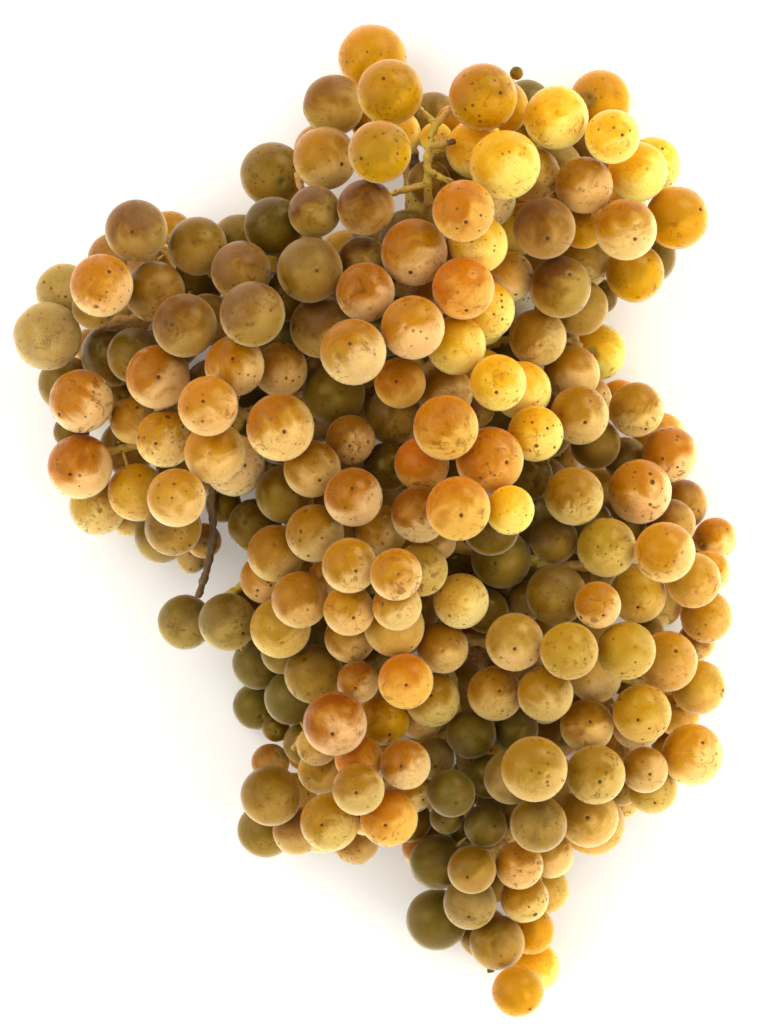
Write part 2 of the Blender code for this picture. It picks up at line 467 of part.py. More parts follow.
def tree_of(mine, pairs, berries):
    """The necks of one sprig: the nearest pairs that join everything, never two necks side by side."""
    inside = set(mine)
    root = {i: i for i in mine}
    ways = {i: [] for i in mine}
    chosen = []

    def top(i):
        while root[i] != i:
            i = root[i]
        return i

    for _, i, j in pairs:
        if i not in inside or j not in inside or top(i) == top(j):
            continue
        way = berries[j, :3] - berries[i, :3]
        way = way / np.linalg.norm(way)
        if any(way @ other > 0.85 for other in ways[i]) or any(-way @ other > 0.85 for other in ways[j]):
            continue
        root[top(i)] = top(j)
        ways[i].append(way)
        ways[j].append(-way)
        chosen.append((i, j))
    return chosen, len({top(i) for i in mine})


BALL = [(1, 0, 0), (-1, 0, 0), (0, 1, 0), (0, -1, 0), (0, 0, 1), (0, 0, -1)]
BALL += [(a, b, 0) for a in (1, -1) for b in (1, -1)]
BALL += [(a, 0, b) for a in (1, -1) for b in (1, -1)]
BALL += [(0, a, b) for a in (1, -1) for b in (1, -1)]


def sprig_mesh(name, mine, necks, berries):
    """One closed solid: a faceted ball for each berry, and a three-sided neck for each joined pair."""
    shape = bmesh.new()
    corner = {}
    for i in mine:
        centre = Vector(berries[i, :3])
        radius = float(berries[i, 3])
        ways = [berries[b if a == i else a, :3] - berries[i, :3] for a, b in necks if i in (a, b)]
        ways = [Vector(way).normalized() for way in ways]
        spots = []
        for spot in BALL:
            spot = Vector(spot).normalized()
            if all(spot.angle(way) > math.radians(27) for way in ways):
                spots.append(centre + spot * radius)
        if centre.z < radius - 0.01:
            ring = math.sqrt(radius**2 - centre.z**2)
            spots = [spot for spot in spots if spot.z > 1.2]
            for k in range(6):
                turn = math.pi * k / 3
                spots.append(Vector((centre.x + ring * math.cos(turn), centre.y + ring * math.sin(turn), 0)))
        verts = [shape.verts.new(spot * MM) for spot in spots]
        for pair in necks:
            if i not in pair:
                continue
            a, b = pair
            along = Vector(berries[b, :3] - berries[a, :3]).normalized()
            side = along.orthogonal().normalized()
            other = along.cross(side)
            wide = neck_radius(berries[a], berries[b])
            forward = math.sqrt(radius**2 - wide**2) * (1 if i == a else -1)
            trio = []
            for k in range(3):
                turn = 2 * math.pi * k / 3
                spot = centre + along * forward + (math.cos(turn) * side + math.sin(turn) * other) * wide
                trio.append(shape.verts.new(spot * MM))
            corner[(pair, i)] = trio
            verts += trio
        bmesh.ops.convex_hull(shape, input=verts)
    for pair in necks:
        one, two = corner[(pair, pair[0])], corner[(pair, pair[1])]
        for trio in (one, two):
            face = shape.faces.get(trio)
            if face is None:
                print("no neck face in", name)
                continue
            shape.faces.remove(face)
        for k in range(3):
            m = (k + 1) % 3
            shape.faces.new((one[k], one[m], two[m]))
            shape.faces.new((one[k], two[m], two[k]))
    bmesh.ops.recalc_face_normals(shape, faces=shape.faces)
    for face in shape.faces:
        face.smooth = True
    mesh = bpy.data.meshes.new(name)
    shape.to_mesh(mesh)
    shape.free()
    item = bpy.data.objects.new(name, mesh)
    bpy.context.scene.collection.objects.link(item)
    return item


def material(name, colour, roughness):
    made = bpy.data.materials.new(name)
    made.use_nodes = True
    shader = made.node_tree.nodes["Principled BSDF"]
    shader.inputs["Base Color"].default_value = (*colour, 1)
    shader.inputs["Roughness"].default_value = roughness
    return made


def stalk_object(lines):
    """All the woody lines joined into one closed solid."""
    parts = []
    for n, line in enumerate(lines):
        shape = bmesh.new()
        tube(shape, line, 8 if n == 0 else 6)
        bmesh.ops.recalc_face_normals(shape, faces=shape.faces)
        mesh = bpy.data.meshes.new("stalk")
        shape.to_mesh(mesh)
        shape.free()
        parts.append(bpy.data.objects.new("stalk" if n == 0 else "stalk_branch", mesh))
        bpy.context.scene.collection.objects.link(parts[-1])
    stalk = parts[0]
    for branch in parts[1:]:
        join = stalk.modifiers.new("branch", "BOOLEAN")
        join.operation = "UNION"
        join.solver = "EXACT"
        join.object = branch
        branch.hide_render = True
        branch.display_type = "WIRE"
    return stalk


for item in list(bpy.data.objects):
    bpy.data.objects.remove(item, do_unlink=True)

seen = seen_berries()
hidden = hidden_berries(seen)
berries = np.vstack([seen, hidden])
lobe_names = ["crown", "right_shoulder", "left_shoulder", "middle", "front", "lower_left", "right_side"]
lobe_names += ["lower_right", "tail", "underside"]
lobe_of = [n for n, lobe in enumerate(LOBES) for _ in lobe] + [9] * len(hidden)
lines = grown_lines(berries)

middle = np.array([
    ((berries[:, k] - berries[:, 3]).min() + (berries[:, k] + berries[:, 3]).max()) / 2 for k in (0, 1)
])
berries[:, :2] -= middle
for line in lines:
    line[:, :2] -= middle

skin = material("grape_skin", (0.62, 0.42, 0.12), 0.4)
wood = material("stalk_wood", (0.35, 0.24, 0.1), 0.7)
groups, pairs = sprig_groups(berries, lobe_of, lines)
count = {}
for mine in groups:
    lobe = lobe_names[min(lobe_of[i] for i in mine)]
    count[lobe] = count.get(lobe, 0) + 1
    necks, pieces = tree_of(mine, pairs, berries)
    name = f"sprig_{lobe}_{count[lobe]}"
    if pieces > 1:
        print(name, "is in", pieces, "pieces", len(mine))
    sprig_mesh(name, mine, necks, berries).data.materials.append(skin)
stalk_object(lines).data.materials.append(wood)
print(len(groups), "sprigs,", len(berries), "berries,", len(lines), "woody lines")
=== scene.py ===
"""A large bunch of ripe white grapes lying on its back, in the finish of the real fruit."""

import math

import bmesh
import bpy
import numpy as np
from mathutils import Matrix, Vector


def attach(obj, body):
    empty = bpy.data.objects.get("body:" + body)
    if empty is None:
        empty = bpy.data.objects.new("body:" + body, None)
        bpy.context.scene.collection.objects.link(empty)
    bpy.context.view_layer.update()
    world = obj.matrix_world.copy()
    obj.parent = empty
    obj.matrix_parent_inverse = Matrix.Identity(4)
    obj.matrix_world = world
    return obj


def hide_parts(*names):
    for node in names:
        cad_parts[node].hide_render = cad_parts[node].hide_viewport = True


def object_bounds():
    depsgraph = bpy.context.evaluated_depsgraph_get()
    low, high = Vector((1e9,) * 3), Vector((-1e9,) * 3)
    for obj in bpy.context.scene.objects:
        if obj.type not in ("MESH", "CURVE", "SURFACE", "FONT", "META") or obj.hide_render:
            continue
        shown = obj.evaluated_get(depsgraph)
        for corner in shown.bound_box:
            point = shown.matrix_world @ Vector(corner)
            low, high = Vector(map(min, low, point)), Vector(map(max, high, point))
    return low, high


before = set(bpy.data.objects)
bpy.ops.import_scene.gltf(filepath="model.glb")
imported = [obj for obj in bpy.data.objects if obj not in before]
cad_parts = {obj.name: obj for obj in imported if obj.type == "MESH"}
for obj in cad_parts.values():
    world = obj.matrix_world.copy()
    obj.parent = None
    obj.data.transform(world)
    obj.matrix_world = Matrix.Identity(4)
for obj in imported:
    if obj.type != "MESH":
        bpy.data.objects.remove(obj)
cad_low, cad_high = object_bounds()
bunch_centre = (cad_low + cad_high) / 2

# ---------------------------------------------------------------------------------------------------------
# The eye, the table and the daylight.
# The bunch lies on its back on a pale table top, so the eye looks straight down on its front, with the
# stem end at the top. Two big soft windows stand to its right, one towards the tail and one by the crown,
# and a wider one to its left.
eye_height = 2.6
front_plane = 0.052
seen_length = 0.2482
eye_aside = 0.0010
eye_along = 0.0005
film_height = 36
table_gap = 0.0006
light_aim = Vector((0, 0, 0.04))


def set_sockets(node, values):
    for socket, value in values.items():
        node.inputs[socket].default_value = value


def placed(name, data):
    """A new object of a mesh, a light or a camera, in the scene."""
    made = bpy.data.objects.new(name, data)
    bpy.context.scene.collection.objects.link(made)
    return made


def new_material(name):
    made = bpy.data.materials.new(name)
    made.use_nodes = True
    return made


eye = placed("eye", bpy.data.cameras.new("eye"))
eye.location = (bunch_centre.x + eye_aside, bunch_centre.y + eye_along, front_plane + eye_height)
eye.data.lens = film_height * eye_height / seen_length
eye.data.clip_start = 0.1
eye.data.clip_end = 20
bpy.context.scene.camera = eye
bpy.context.scene.view_settings.view_transform = "Standard"

bpy.ops.object.select_all(action="DESELECT")
bpy.ops.mesh.primitive_plane_add(size=6, location=(0, 0, -table_gap))
table_top = bpy.context.object
table_top.name = "table_top"
table_paint = new_material("table_paint")
set_sockets(table_paint.node_tree.nodes["Principled BSDF"], {
    "Base Color": (0.93, 0.93, 0.92, 1),
    "Roughness": 0.9,
    "Specular IOR Level": 0.2,
    "Emission Color": (1.0, 0.99, 0.97, 1),
    "Emission Strength": 0.10,
})
table_top.data.materials.append(table_paint)

sky = bpy.data.worlds.new("sky")
sky.use_nodes = True
set_sockets(sky.node_tree.nodes["Background"], {"Color": (1.0, 0.985, 0.96, 1), "Strength": 0.98})
bpy.context.scene.world = sky

for window_name, spot, width, power, tint in (
    ("window_right", (0.85, -0.50, 0.80), 0.80, 5.2, (1.0, 0.97, 0.92)),
    ("window_crown", (0.60, 0.90, 0.55), 0.60, 6.2, (1.0, 0.98, 0.94)),
    ("window_left", (-0.90, 0.3, 0.95), 1.10, 8.6, (1.0, 0.95, 0.86)),
):
    window = placed(window_name, bpy.data.lights.new(window_name, "AREA"))
    window.data.size = width
    window.data.energy = power
    window.data.color = tint
    window.location = spot
    window.rotation_mode = "QUATERNION"
    window.rotation_quaternion = (light_aim - Vector(spot)).to_track_quat("-Z", "Y")

# ---------------------------------------------------------------------------------------------------------
# The grape: a thin waxy skin over clear flesh. One end holds the pedicel in a small hollow, and the other
# has the dried stylar scar, a brown dot on a faint flat. The skin carries cork freckles and a rusty sun
# blush, and its far side shows paler flesh, part its own colour and part painted light. It is shaped once
# here, and every berry of the bunch is a copy of it.
scar_width, scar_inset, scar_depth = 0.30, 0.13, -0.015
hollow_width, hollow_inset, hollow_depth = 0.34, 0.14, -0.07
scar_reach = 0.99
hollow_reach = 0.93
axis_width = 0.13
fitting_rounds = 6


def rounded(piece, levels):
    """Gives a piece a Subdivision Surface that stays live."""
    rounding = piece.modifiers.new("rounding", "SUBSURF")
    rounding.levels = levels
    rounding.render_levels = levels


bpy.ops.object.select_all(action="DESELECT")
bpy.ops.mesh.primitive_cube_add(size=2, location=(0, 0, 0))
grape = bpy.context.object
grape.name = "grape"
bpy.ops.object.mode_set(mode="EDIT")
bpy.ops.mesh.select_all(action="SELECT")
bpy.ops.mesh.subdivide(number_cuts=1)
bpy.ops.transform.tosphere(value=1.0)
bpy.ops.object.mode_set(mode="OBJECT")
bpy.ops.object.mode_set(mode="EDIT")
bpy.ops.mesh.select_mode(type="VERT")
for end, width, inset, depth in (
    (1, scar_width, scar_inset, scar_depth),
    (-1, hollow_width, hollow_inset, hollow_depth),
):
    bpy.ops.mesh.select_all(action="DESELECT")
    cage = bmesh.from_edit_mesh(grape.data)
    cage.verts.ensure_lookup_table()
    max(cage.verts, key=lambda v: v.co.z * end).select_set(True)
    cage.select_flush_mode()
    bmesh.update_edit_mesh(grape.data)
    bpy.ops.mesh.bevel(offset=width, offset_type="OFFSET", affect="VERTICES")
    bpy.ops.mesh.select_mode(type="FACE")
    bpy.ops.mesh.select_all(action="DESELECT")
    cage = bmesh.from_edit_mesh(grape.data)
    max(cage.faces, key=lambda f: f.calc_center_median().z * end).select_set(True)
    bmesh.update_edit_mesh(grape.data)
    bpy.ops.mesh.inset(thickness=inset, depth=depth)
    bpy.ops.mesh.select_mode(type="VERT")
bpy.ops.object.mode_set(mode="OBJECT")
rounded(grape, 2)
# The rounding draws the skin inwards, so the cage is swelled until the skin has a radius of 1.
for _ in range(fitting_rounds):
    smooth = grape.evaluated_get(bpy.context.evaluated_depsgraph_get()).to_mesh()
    for vert, skin_point in zip(grape.data.vertices, smooth.vertices):
        wanted = 1.0
        if math.hypot(vert.co.x, vert.co.y) < axis_width:
            wanted = scar_reach if vert.co.z > 0 else hollow_reach
        vert.co *= wanted / skin_point.co.length
    grape.data.update()
grape_cage = np.array([v.co[:] for v in grape.data.vertices])
grape_ways = grape_cage / np.linalg.norm(grape_cage, axis=1)[:, None]

skin = new_material("grape_skin_waxy")
nodes = skin.node_tree.nodes
links = skin.node_tree.links
shader = nodes["Principled BSDF"]
set_sockets(shader, {
    "Subsurface Weight": 0.60,
    "Subsurface Radius": (1.0, 0.66, 0.22),
    "Subsurface Scale": 0.0042,
    "Specular IOR Level": 0.36,
    "Specular Tint": (1.0, 0.70, 0.25, 1),
})
place = nodes.new("ShaderNodeTexCoord")


def attribute_of(name, kind="Fac"):
    found = nodes.new("ShaderNodeAttribute")
    found.attribute_name = name
    return found.outputs[kind]


def level(value, low, high, out_low=0.0, out_high=1.0):
    """Turns low..high of a value into out_low..out_high with soft ends."""
    ramp = nodes.new("ShaderNodeMapRange")
    ramp.interpolation_type = "SMOOTHSTEP"
    links.new(value, ramp.inputs["Value"])
    set_sockets(ramp, {"From Min": low, "From Max": high, "To Min": out_low, "To Max": out_high})
    return ramp.outputs["Result"]


def combine(kind, one, two):
    made = nodes.new("ShaderNodeMath")
    made.operation = kind
    for socket, value in zip(made.inputs, (one, two)):
        if isinstance(value, (int, float)):
            socket.default_value = value
        else:
            links.new(value, socket)
    return made.outputs[0]


def times(one, two):
    return combine("MULTIPLY", one, two)


def blend_colour(share, one, two, kind="MIX"):
    made = nodes.new("ShaderNodeMix")
    made.data_type = "RGBA"
    made.blend_type = kind
    for socket, value in zip((made.inputs[0], made.inputs[6], made.inputs[7]), (share, one, two)):
        if isinstance(value, (int, float)):
            socket.default_value = value
        elif isinstance(value, tuple):
            socket.default_value = (*value, 1)
        else:
            links.new(value, socket)
    return made.outputs[2]


def tinted(colour, by):
    return blend_colour(1.0, colour, by, "MULTIPLY")


def painted(colour, over, where, strength):
    """Lays a colour over another where a mark is, at this strength."""
    return blend_colour(times(where, strength), colour, over)


def grain(scale, detail=2.0, roughness=0.5, distortion=0.0):
    made = nodes.new("ShaderNodeTexNoise")
    set_sockets(made, {"Scale": scale, "Detail": detail, "Roughness": roughness, "Distortion": distortion})
    links.new(place.outputs["Object"], made.inputs["Vector"])
    return made.outputs["Fac"]


def along(direction):
    """How far the skin faces a direction, from -1 to 1."""
    made = nodes.new("ShaderNodeVectorMath")
    made.operation = "DOT_PRODUCT"
    made.inputs[1].default_value = direction
    links.new(place.outputs["Normal"], made.inputs[0])
    return made.outputs["Value"]


def freckles(scale, smallest, largest, share):
    """Round cork dots: one in some of the cells of a fine lattice, each of its own size."""
    made = nodes.new("ShaderNodeTexVoronoi")
    set_sockets(made, {"Scale": scale, "Randomness": 1.0})
    links.new(place.outputs["Object"], made.inputs["Vector"])
    parts = nodes.new("ShaderNodeSeparateColor")
    links.new(made.outputs["Color"], parts.inputs["Color"])
    size = level(parts.outputs["Red"], 1 - share, 1.0, smallest, largest)
    there = level(parts.outputs["Red"], 1 - share - 0.01, 1 - share + 0.01)
    inside = level(combine("SUBTRACT", size, made.outputs["Distance"]), -0.03, 0.05)
    return times(inside, there)


def roughen(height, strength, distance):
    """Turns a height into the small relief of the surface."""
    relief = nodes.new("ShaderNodeBump")
    set_sockets(relief, {"Strength": strength, "Distance": distance})
    links.new(height, relief.inputs["Height"])
    links.new(relief.outputs["Normal"], shader.inputs["Normal"])


to_sun = (-0.56, 0.80, 0.20)
to_painted_light_side = (0.50, -0.64, 0.58)
to_rim = (0.40, -0.90, 0)
to_edge = (0.30, -0.95, 0)
edge_cream = (1.0, 0.94, 0.70)
bloom_tan = (0.62, 0.50, 0.34)
russet_brown = (0.24, 0.11, 0.018)
freckle_brown = (0.13, 0.050, 0.010)
spot_brown = (0.11, 0.042, 0.010)
scar_brown = (0.055, 0.022, 0.007)
hollow_olive = (0.20, 0.16, 0.035)

# The sun side turns rusty in ragged patches, and the far side shows the clear flesh. Its paleness is partly
# painted light, and the glow there, which brightens the colour itself, is painted light.
blush = attribute_of("blush", "Color")
flesh = attribute_of("flesh", "Color")
ragged = times(combine("SUBTRACT", grain(115, 4.0, 0.55, 0.9), 0.5), 2.3)
sun_side = combine("ADD", along(to_sun), ragged)
rusty = times(level(sun_side, 0.30, 0.62), attribute_of("ripeness"))
colour = blend_colour(rusty, attribute_of("tone", "Color"), blush)
colour = blend_colour(level(sun_side, 0.32, -0.35), colour, flesh)
# Painted light: the skin colour is made brighter on the side towards the right and the tail.
painted_glow = level(along(to_painted_light_side), 0.40, 1.0)
colour = painted(colour, tinted(colour, (1.22, 1.20, 1.10)), painted_glow, 0.4)

# Light comes through the berry round its outline, and most of all through the edge towards the tail. The
# half that lies towards the table has none of it.
upward = along((0, 0, 1))
upper_side = level(upward, -0.30, 0.10)
pale = tinted(flesh, (1.18, 1.30, 1.55))
rim = times(level(upward, 0.80, 0.30), level(along(to_rim), -0.35, 0.55))
colour = painted(colour, pale, times(rim, upper_side), 0.9)
outline = times(level(upward, 0.75, 0.15), upper_side)
colour = blend_colour(outline, colour, tinted(colour, (1.30, 1.28, 1.0)))
edge = times(level(upward, 0.50, 0.12), level(along(to_edge), -0.5, 0.3, 0.15, 1.0))
colour = painted(colour, blend_colour(0.50, pale, edge_cream), times(edge, upper_side), 0.7)

# On the skin: rusty stains, the dull wax of the bloom, russet, fine grit, freckles and larger spots.
stain = times(level(grain(250, 5.0, 0.72, 1.8), 0.54, 0.62), level(grain(85, 1.0), 0.42, 0.60))
colour = painted(colour, tinted(blush, (0.74, 0.60, 0.45)), stain, 0.70)
dull = attribute_of("dull")
bloom = level(grain(120, 5.0, 0.65), 0.40, 0.70)
waxed = times(bloom, combine("ADD", times(dull, 0.16), 0.015))
colour = blend_colour(waxed, colour, bloom_tan)
russet = times(level(grain(1100, 4.0, 0.7, 0.8), 0.50, 0.60), level(grain(150, 2.0), 0.42, 0.62))
colour = painted(colour, russet_brown, russet, 0.34)
colour = tinted(colour, level(grain(1900, 3.0, 0.7), 0.35, 0.65, 0.94, 1.04))
freckle = attribute_of("freckle")
dots = times(freckles(560, 0.12, 0.26, 0.50), freckle)
colour = painted(colour, freckle_brown, dots, 0.75)
spots = times(freckles(180, 0.05, 0.14, 0.36), freckle)
colour = painted(colour, spot_brown, spots, 0.80)

# Each end of the berry: the dried scar at the tip, and the olive hollow round the pedicel.
local = nodes.new("ShaderNodeSeparateXYZ")
links.new(attribute_of("local", "Vector"), local.inputs["Vector"])
squares = [combine("POWER", local.outputs[axis], 2.0) for axis in ("X", "Y")]
wobble = times(combine("SUBTRACT", grain(900), 0.5), 0.05)
off_axis = combine("ADD", combine("POWER", combine("ADD", *squares), 0.5), wobble)
tip = times(level(local.outputs["Z"], 0.5, 0.7), attribute_of("scar"))
colour = painted(colour, blush, times(level(off_axis, 0.24, 0.10), tip), 0.30)
scar = times(level(off_axis, 0.085, 0.050), tip)
colour = painted(colour, scar_brown, scar, 0.92)
hollow = times(level(off_axis, 0.42, 0.12), level(local.outputs["Z"], -0.5, -0.7))
colour = painted(colour, hollow_olive, hollow, 0.6)
links.new(colour, shader.inputs["Base Color"])
wax_matt = combine("ADD", level(bloom, 0.0, 1.0, 0.24, 0.40), times(dull, 0.14))
cork_matt = times(combine("MAXIMUM", russet, dots), 0.15)
links.new(combine("ADD", wax_matt, cork_matt), shader.inputs["Roughness"])
pitted = combine("SUBTRACT", times(grain(380, 4.0, 0.6), 0.8), times(dots, 0.5))
roughen(combine("SUBTRACT", pitted, scar), 0.30, 0.00010)

smallest_radius = 0.001
largest_radius = 0.012
off_skin = 8e-6
same_place = 3e-4
fewest_corners = 5


def berries_in(node):
    """The centre and radius of every berry of a CAD sprig, from the corners that lie on its skin."""
    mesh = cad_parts[node].data
    corners = np.array([v.co[:] for v in mesh.vertices])
    spots, index = np.unique(np.round(corners * 1e6).astype(np.int64), axis=0, return_inverse=True)
    index = index.reshape(-1)
    spots = spots / 1e6
    ring = [set() for _ in spots]
    for face in mesh.polygons:
        around = [index[k] for k in face.vertices]
        for k in around:
            ring[k].update(around)
    found = []
    for k, near in enumerate(ring):
        points = spots[sorted(near | {k})]
        if len(points) < fewest_corners:
            continue
        sides = np.column_stack([2 * points, np.ones(len(points))])
        answer, _, rank, _ = np.linalg.lstsq(sides, (points**2).sum(axis=1), rcond=None)
        if rank < 4:
            continue
        centre = answer[:3]
        radius = math.sqrt(max(answer[3] + centre @ centre, 0))
        worst = np.abs(np.linalg.norm(points - centre, axis=1) - radius).max()
        if worst > off_skin or not smallest_radius < radius < largest_radius:
            continue
        if all(np.linalg.norm(centre - other[:3]) > same_place for other in found):
            found.append((*centre, radius))
    return found


def linear(red, green, blue):
    """A colour card's 0 to 255 values as light."""
    return tuple(((v / 255 + 0.055) / 1.055) ** 2.4 if v > 10 else v / 3295 for v in (red, green, blue))


# Each kind of berry: its body, the rusty side that faced the sun, and the clear flesh of its far side,
# which is paler partly as painted light.
TONES = {
    # The white kind is painted sunlight: its near-white colours stand for strong light falling on the
    # berry.
    "white": ((252, 226, 130), (246, 196, 56), (255, 246, 216)),
    "lemon": ((236, 184, 46), (228, 160, 10), (254, 222, 116)),
    "cream": ((228, 180, 92), (210, 146, 34), (242, 206, 140)),
    "orange": ((196, 124, 20), (186, 104, 3), (234, 180, 84)),
    "gold": ((192, 138, 38), (186, 120, 8), (238, 194, 120)),
    "honey": ((184, 142, 46), (178, 126, 18), (206, 164, 82)),
    "topaz": ((174, 124, 10), (176, 112, 3), (204, 148, 26)),
    "amber": ((186, 128, 28), (166, 98, 3), (238, 196, 126)),
    "straw": ((180, 142, 62), (160, 120, 40), (218, 182, 112)),
    "pale": ((160, 130, 76), (148, 118, 60), (180, 150, 90)),
    "rust": ((170, 108, 26), (138, 74, 4), (224, 186, 124)),
    "ochre": ((164, 113, 32), (150, 98, 14), (212, 174, 104)),
    "khaki": ((168, 127, 40), (156, 112, 22), (212, 174, 92)),
    "mauve": ((150, 104, 40), (112, 60, 10), (184, 148, 82)),
    "brown": ((132, 86, 22), (94, 46, 4), (174, 136, 66)),
    "jade": ((118, 96, 46), (100, 76, 26), (156, 130, 70)),
    "olive": ((130, 96, 30), (108, 74, 12), (162, 124, 54)),
    "moss": ((116, 90, 28), (96, 70, 14), (140, 110, 44)),
    # The shade and dark kinds are darker for berries deep in the gaps: painted shade.
    "shade": ((92, 78, 32), (92, 76, 26), (102, 84, 34)),
    "dark": ((92, 70, 18), (74, 52, 8), (112, 84, 30)),
}

# ---------------------------------------------------------------------------------------------------------
# The crown, at the stem end.
# Seventeen berries set round the first side branches: topaz and lemon on the right, browner and mossy to
# the left. Each row of this and of the other lists is a berry's x, y and diameter in mm, and its tone.
crown_berries = [
    (-0.3, 111.3, 17, "topaz"), (4.9, 101.8, 16.2, "topaz"), (-9.6, 99.8, 15.2, "brown"),
    (-12.2, 87, 15.6, "ochre"), (1, 87.4, 15.4, "topaz"), (-22.8, 84.2, 16.2, "moss"),
    (-14, 90, 13, "ochre"), (-22.5, 70, 14.6, "dark"), (-15, 73.5, 12.8, "brown"),
    (-2.7, 74.8, 14, "brown"), (8.2, 67.8, 14.6, "moss"), (10, 63.6, 16.4, "amber"),
    (6.5, 92.5, 13, "lemon"), (-3.5, 97, 9, "ochre"), (13, 79.5, 11, "olive"), (15, 92.5, 8, "lemon"),
    (17.5, 94.5, 9, "topaz"),
]

# ---------------------------------------------------------------------------------------------------------
# The right shoulder.
# A broad loose wing in full light: lemon, topaz and amber berries, browner where it meets the middle, with
# one tiny berry that never filled, at its top.
right_shoulder_berries = [
    (25.8, 101.1, 16.6, "topaz"), (29.8, 99.3, 14.4, "topaz"), (34.1, 107.8, 3.4, "moss"),
    (25, 87.5, 15, "lemon"), (31, 84.6, 17.1, "lemon"), (36.5, 83, 13.8, "khaki"),
    (21.2, 73, 15.2, "orange"), (24.5, 67.2, 14.6, "lemon"), (26.5, 75, 13, "cream"),
    (29.8, 74, 13, "lemon"), (29.5, 64, 11, "lemon"), (43.5, 96.4, 15.8, "lemon"),
    (54.9, 102.3, 15, "topaz"), (56.7, 91.5, 13.5, "lemon"), (63.8, 84, 14.8, "lemon"),
    (66, 85, 14, "lemon"), (50, 80.3, 14, "ochre"), (44, 82, 13, "olive"), (40.6, 69.8, 15.2, "brown"),
    (60.1, 69.6, 15.2, "amber"), (71.5, 72, 15.6, "topaz"), (61, 77.5, 12, "lemon"),
    (50, 72.7, 12, "topaz"), (62, 62, 14.6, "topaz"), (51, 62, 14, "ochre"), (44.2, 55.6, 15.2, "brown"),
    (49.3, 51.7, 14.2, "olive"),
]

# ---------------------------------------------------------------------------------------------------------
# The left shoulder.
# The wide wing on the shaded side: olive, brown and rusty berries with a dull bloom, pale at its tip and
# golden where it meets the middle.
left_shoulder_berries = [
    (-57.5, 69.2, 15.4, "brown"), (-61.5, 63, 13, "mauve"), (-55.5, 64.5, 12, "mauve"),
    (-65.7, 56.1, 15.5, "amber"), (-75.8, 55, 14, "pale"), (-79.4, 44.4, 16.8, "pale"),
    (-53.3, 55, 15, "olive"), (-64.2, 43, 16, "dark"), (-75.3, 33, 14, "moss"), (-70.9, 28.4, 15.8, "rust"),
    (-52.3, 34.6, 15.8, "rust"), (-45.9, 45.8, 15.8, "brown"), (-43.2, 65, 14.6, "olive"),
    (-40.5, 51.5, 13, "olive"), (-31.7, 59.4, 14.8, "brown"), (-29.6, 48.3, 16, "brown"),
    (-39.8, 27.2, 14.8, "gold"), (-33.9, 36.8, 14.8, "amber"), (-50.8, 19.5, 14.2, "amber"),
    (-58.8, 23.4, 11.6, "ochre"), (-56.2, 36.5, 14, "moss"), (-71.3, 12.6, 16, "rust"),
    (-67.3, 3.2, 14.4, "straw"), (-58.5, 6.6, 14.4, "honey"), (-47.5, 5.2, 14.4, "gold"),
    (-37.1, 14.7, 15.4, "gold"), (-35.8, 14.2, 15.2, "cream"), (-51.9, -4.7, 13, "jade"),
    (-42.3, -6.2, 8.8, "mauve"), (-44.6, -9, 7.4, "pale"), (-46.3, -25.1, 13.6, "jade"),
    (-35.5, -24.9, 14.4, "jade"), (-33, -19.5, 12.6, "dark"), (-36, 3, 9, "dark"),
]

# ---------------------------------------------------------------------------------------------------------
# The middle of the bunch.
# Tightly packed berries over the main axis, amber, ochre and gold with some rusty ones. Those deep in the
# gaps are dark and mossy, their darkness partly painted shade.
middle_berries = [
    (-15.3, 59.3, 16, "olive"), (-19.5, 61.5, 10, "moss"), (-22, 55, 13, "dark"), (-3, 61.6, 13.4, "brown"),
    (-2.7, 54.3, 14.4, "rust"), (-13.4, 46.5, 15.4, "brown"), (-5.1, 39.8, 16, "amber"),
    (-22.4, 36.2, 13.4, "ochre"), (-11, 30.8, 15.6, "moss"), (-22.7, 21.8, 16.6, "amber"),
    (-15.2, 11.9, 14, "ochre"), (-6.1, 19, 12.2, "ochre"), (4.3, 24.4, 14.2, "olive"),
    (5.9, 32.6, 12.6, "orange"), (9, 45.7, 15.5, "amber"), (-5.7, 5.5, 14.3, "rust"),
    (-24.5, 18.5, 13, "moss"), (-23, 5.3, 14.4, "moss"), (-27.6, 0.3, 13.2, "dark"),
    (-23.5, -8.9, 14, "ochre"), (-26.5, -11, 12.5, "ochre"), (-14.7, -3.5, 14.2, "ochre"),
    (-18, -18.9, 14, "ochre"), (-21.9, -25.6, 15, "khaki"), (-12, -13.8, 8.6, "gold"),
    (-6, -11.6, 13.5, "amber"), (4.7, -13.7, 12.8, "amber"), (1.4, -2.8, 12.8, "gold"),
    (10.6, 1.3, 14, "rust"), (20, 2.5, 15.6, "orange"), (-6.2, -21.4, 12.6, "gold"),
    (5.2, -19.6, 12, "amber"), (4.8, -26.1, 15, "honey"), (-5.8, -28.6, 12.6, "ochre"),
    (12.2, -15.8, 13, "khaki"), (9.2, -8.5, 10.6, "amber"), (13.8, -6.2, 9, "straw"),
    (15.5, -21.3, 13.6, "cream"), (14.6, -30.5, 12.6, "ochre"), (3, 13, 12, "dark"),
]

